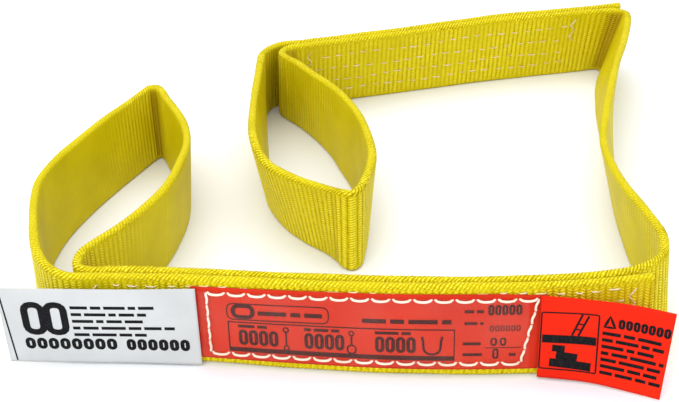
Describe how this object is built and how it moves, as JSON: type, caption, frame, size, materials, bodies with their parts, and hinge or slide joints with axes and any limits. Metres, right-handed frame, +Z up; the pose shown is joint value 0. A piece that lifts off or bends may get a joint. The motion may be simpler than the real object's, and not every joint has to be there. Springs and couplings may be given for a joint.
{
  "type": "flat web sling",
  "caption": "Eye-and-eye flat web sling standing on edge in an open U: folded eyes, sewn two-ply splices, a sewn red label with a clear cover, a red flap and a white tag.",
  "frame": {"origin": "middle of the footprint, on the floor that the webbing's edge stands on", "axes": "+Z up across the webbing's width; +X along the front splice from its eye to the corner; +Y from the labelled front splice towards the back splice; the label faces -Y"},
  "size_m": [0.3667, 0.366, 0.0508],
  "materials": {
    "yellow_webbing": "heavy ribbed tubular weave, slightly glossy yarns",
    "cream_thread": "thick bonded sewing thread",
    "red_label": "printed vinyl sheet",
    "clear_film": "thin clear cover film",
    "white_tag": "smooth printed sheet"
  },
  "bodies": {
    "front_splice": {"front_splice_outer_ply": "yellow_webbing", "front_splice_inner_ply": "yellow_webbing", "front_corner": "yellow_webbing", "front_splice_face_thread": "cream_thread", "front_splice_rear_thread": "cream_thread", "rating_label": "red_label", "label_cover_film": "clear_film", "label_stitch_thread": "cream_thread"},
    "front_eye": {"front_eye_outer_leg": "yellow_webbing", "front_eye_far_turn": "yellow_webbing", "front_eye_inner_leg": "yellow_webbing", "front_eye_throat_turn": "yellow_webbing"},
    "span_front": {"span_front_half": "yellow_webbing"},
    "back_splice": {"span_back_half": "yellow_webbing", "back_corner": "yellow_webbing", "back_splice_inner_ply": "yellow_webbing", "back_splice_outer_ply": "yellow_webbing", "back_splice_face_thread": "cream_thread", "back_splice_rear_thread": "cream_thread"},
    "back_eye": {"back_eye_throat_turn": "yellow_webbing", "back_eye_inner_leg": "yellow_webbing", "back_eye_far_turn": "yellow_webbing", "back_eye_outer_leg": "yellow_webbing"},
    "warning_flap": {"warning_flap": "red_label"},
    "info_tag": {"info_tag": "white_tag"}
  },
  "joints": [
    {"name": "front_eye_swing", "type": "hinge", "parent": "front_splice", "child": "front_eye", "pos_m": [-0.1488, -0.1351, 0], "axis": [0, 0, 1], "range_deg": [-2, 25]},
    {"name": "front_corner_fold", "type": "hinge", "parent": "front_splice", "child": "span_front", "pos_m": [0.1447, -0.1129, 0], "axis": [0, 0, 1], "range_deg": [-60, 5]},
    {"name": "mid_span_fold", "type": "hinge", "parent": "span_front", "child": "back_splice", "pos_m": [0.1504, 0.0571, 0], "axis": [0, 0, 1], "range_deg": [-60, 5]},
    {"name": "back_eye_swing", "type": "hinge", "parent": "back_splice", "child": "back_eye", "pos_m": [-0.0513, 0.1291, 0], "axis": [0, 0, 1], "range_deg": [-12, 3]},
    {"name": "warning_flap_hinge", "type": "hinge", "parent": "front_splice", "child": "warning_flap", "pos_m": [0.0737, -0.1638, 0], "axis": [0, 0, 1], "range_deg": [-80, 12]},
    {"name": "info_tag_hinge", "type": "hinge", "parent": "front_splice", "child": "info_tag", "pos_m": [-0.0873, -0.1475, 0], "axis": [0, 0, 1], "range_deg": [-1.5, 80]}
  ]
}
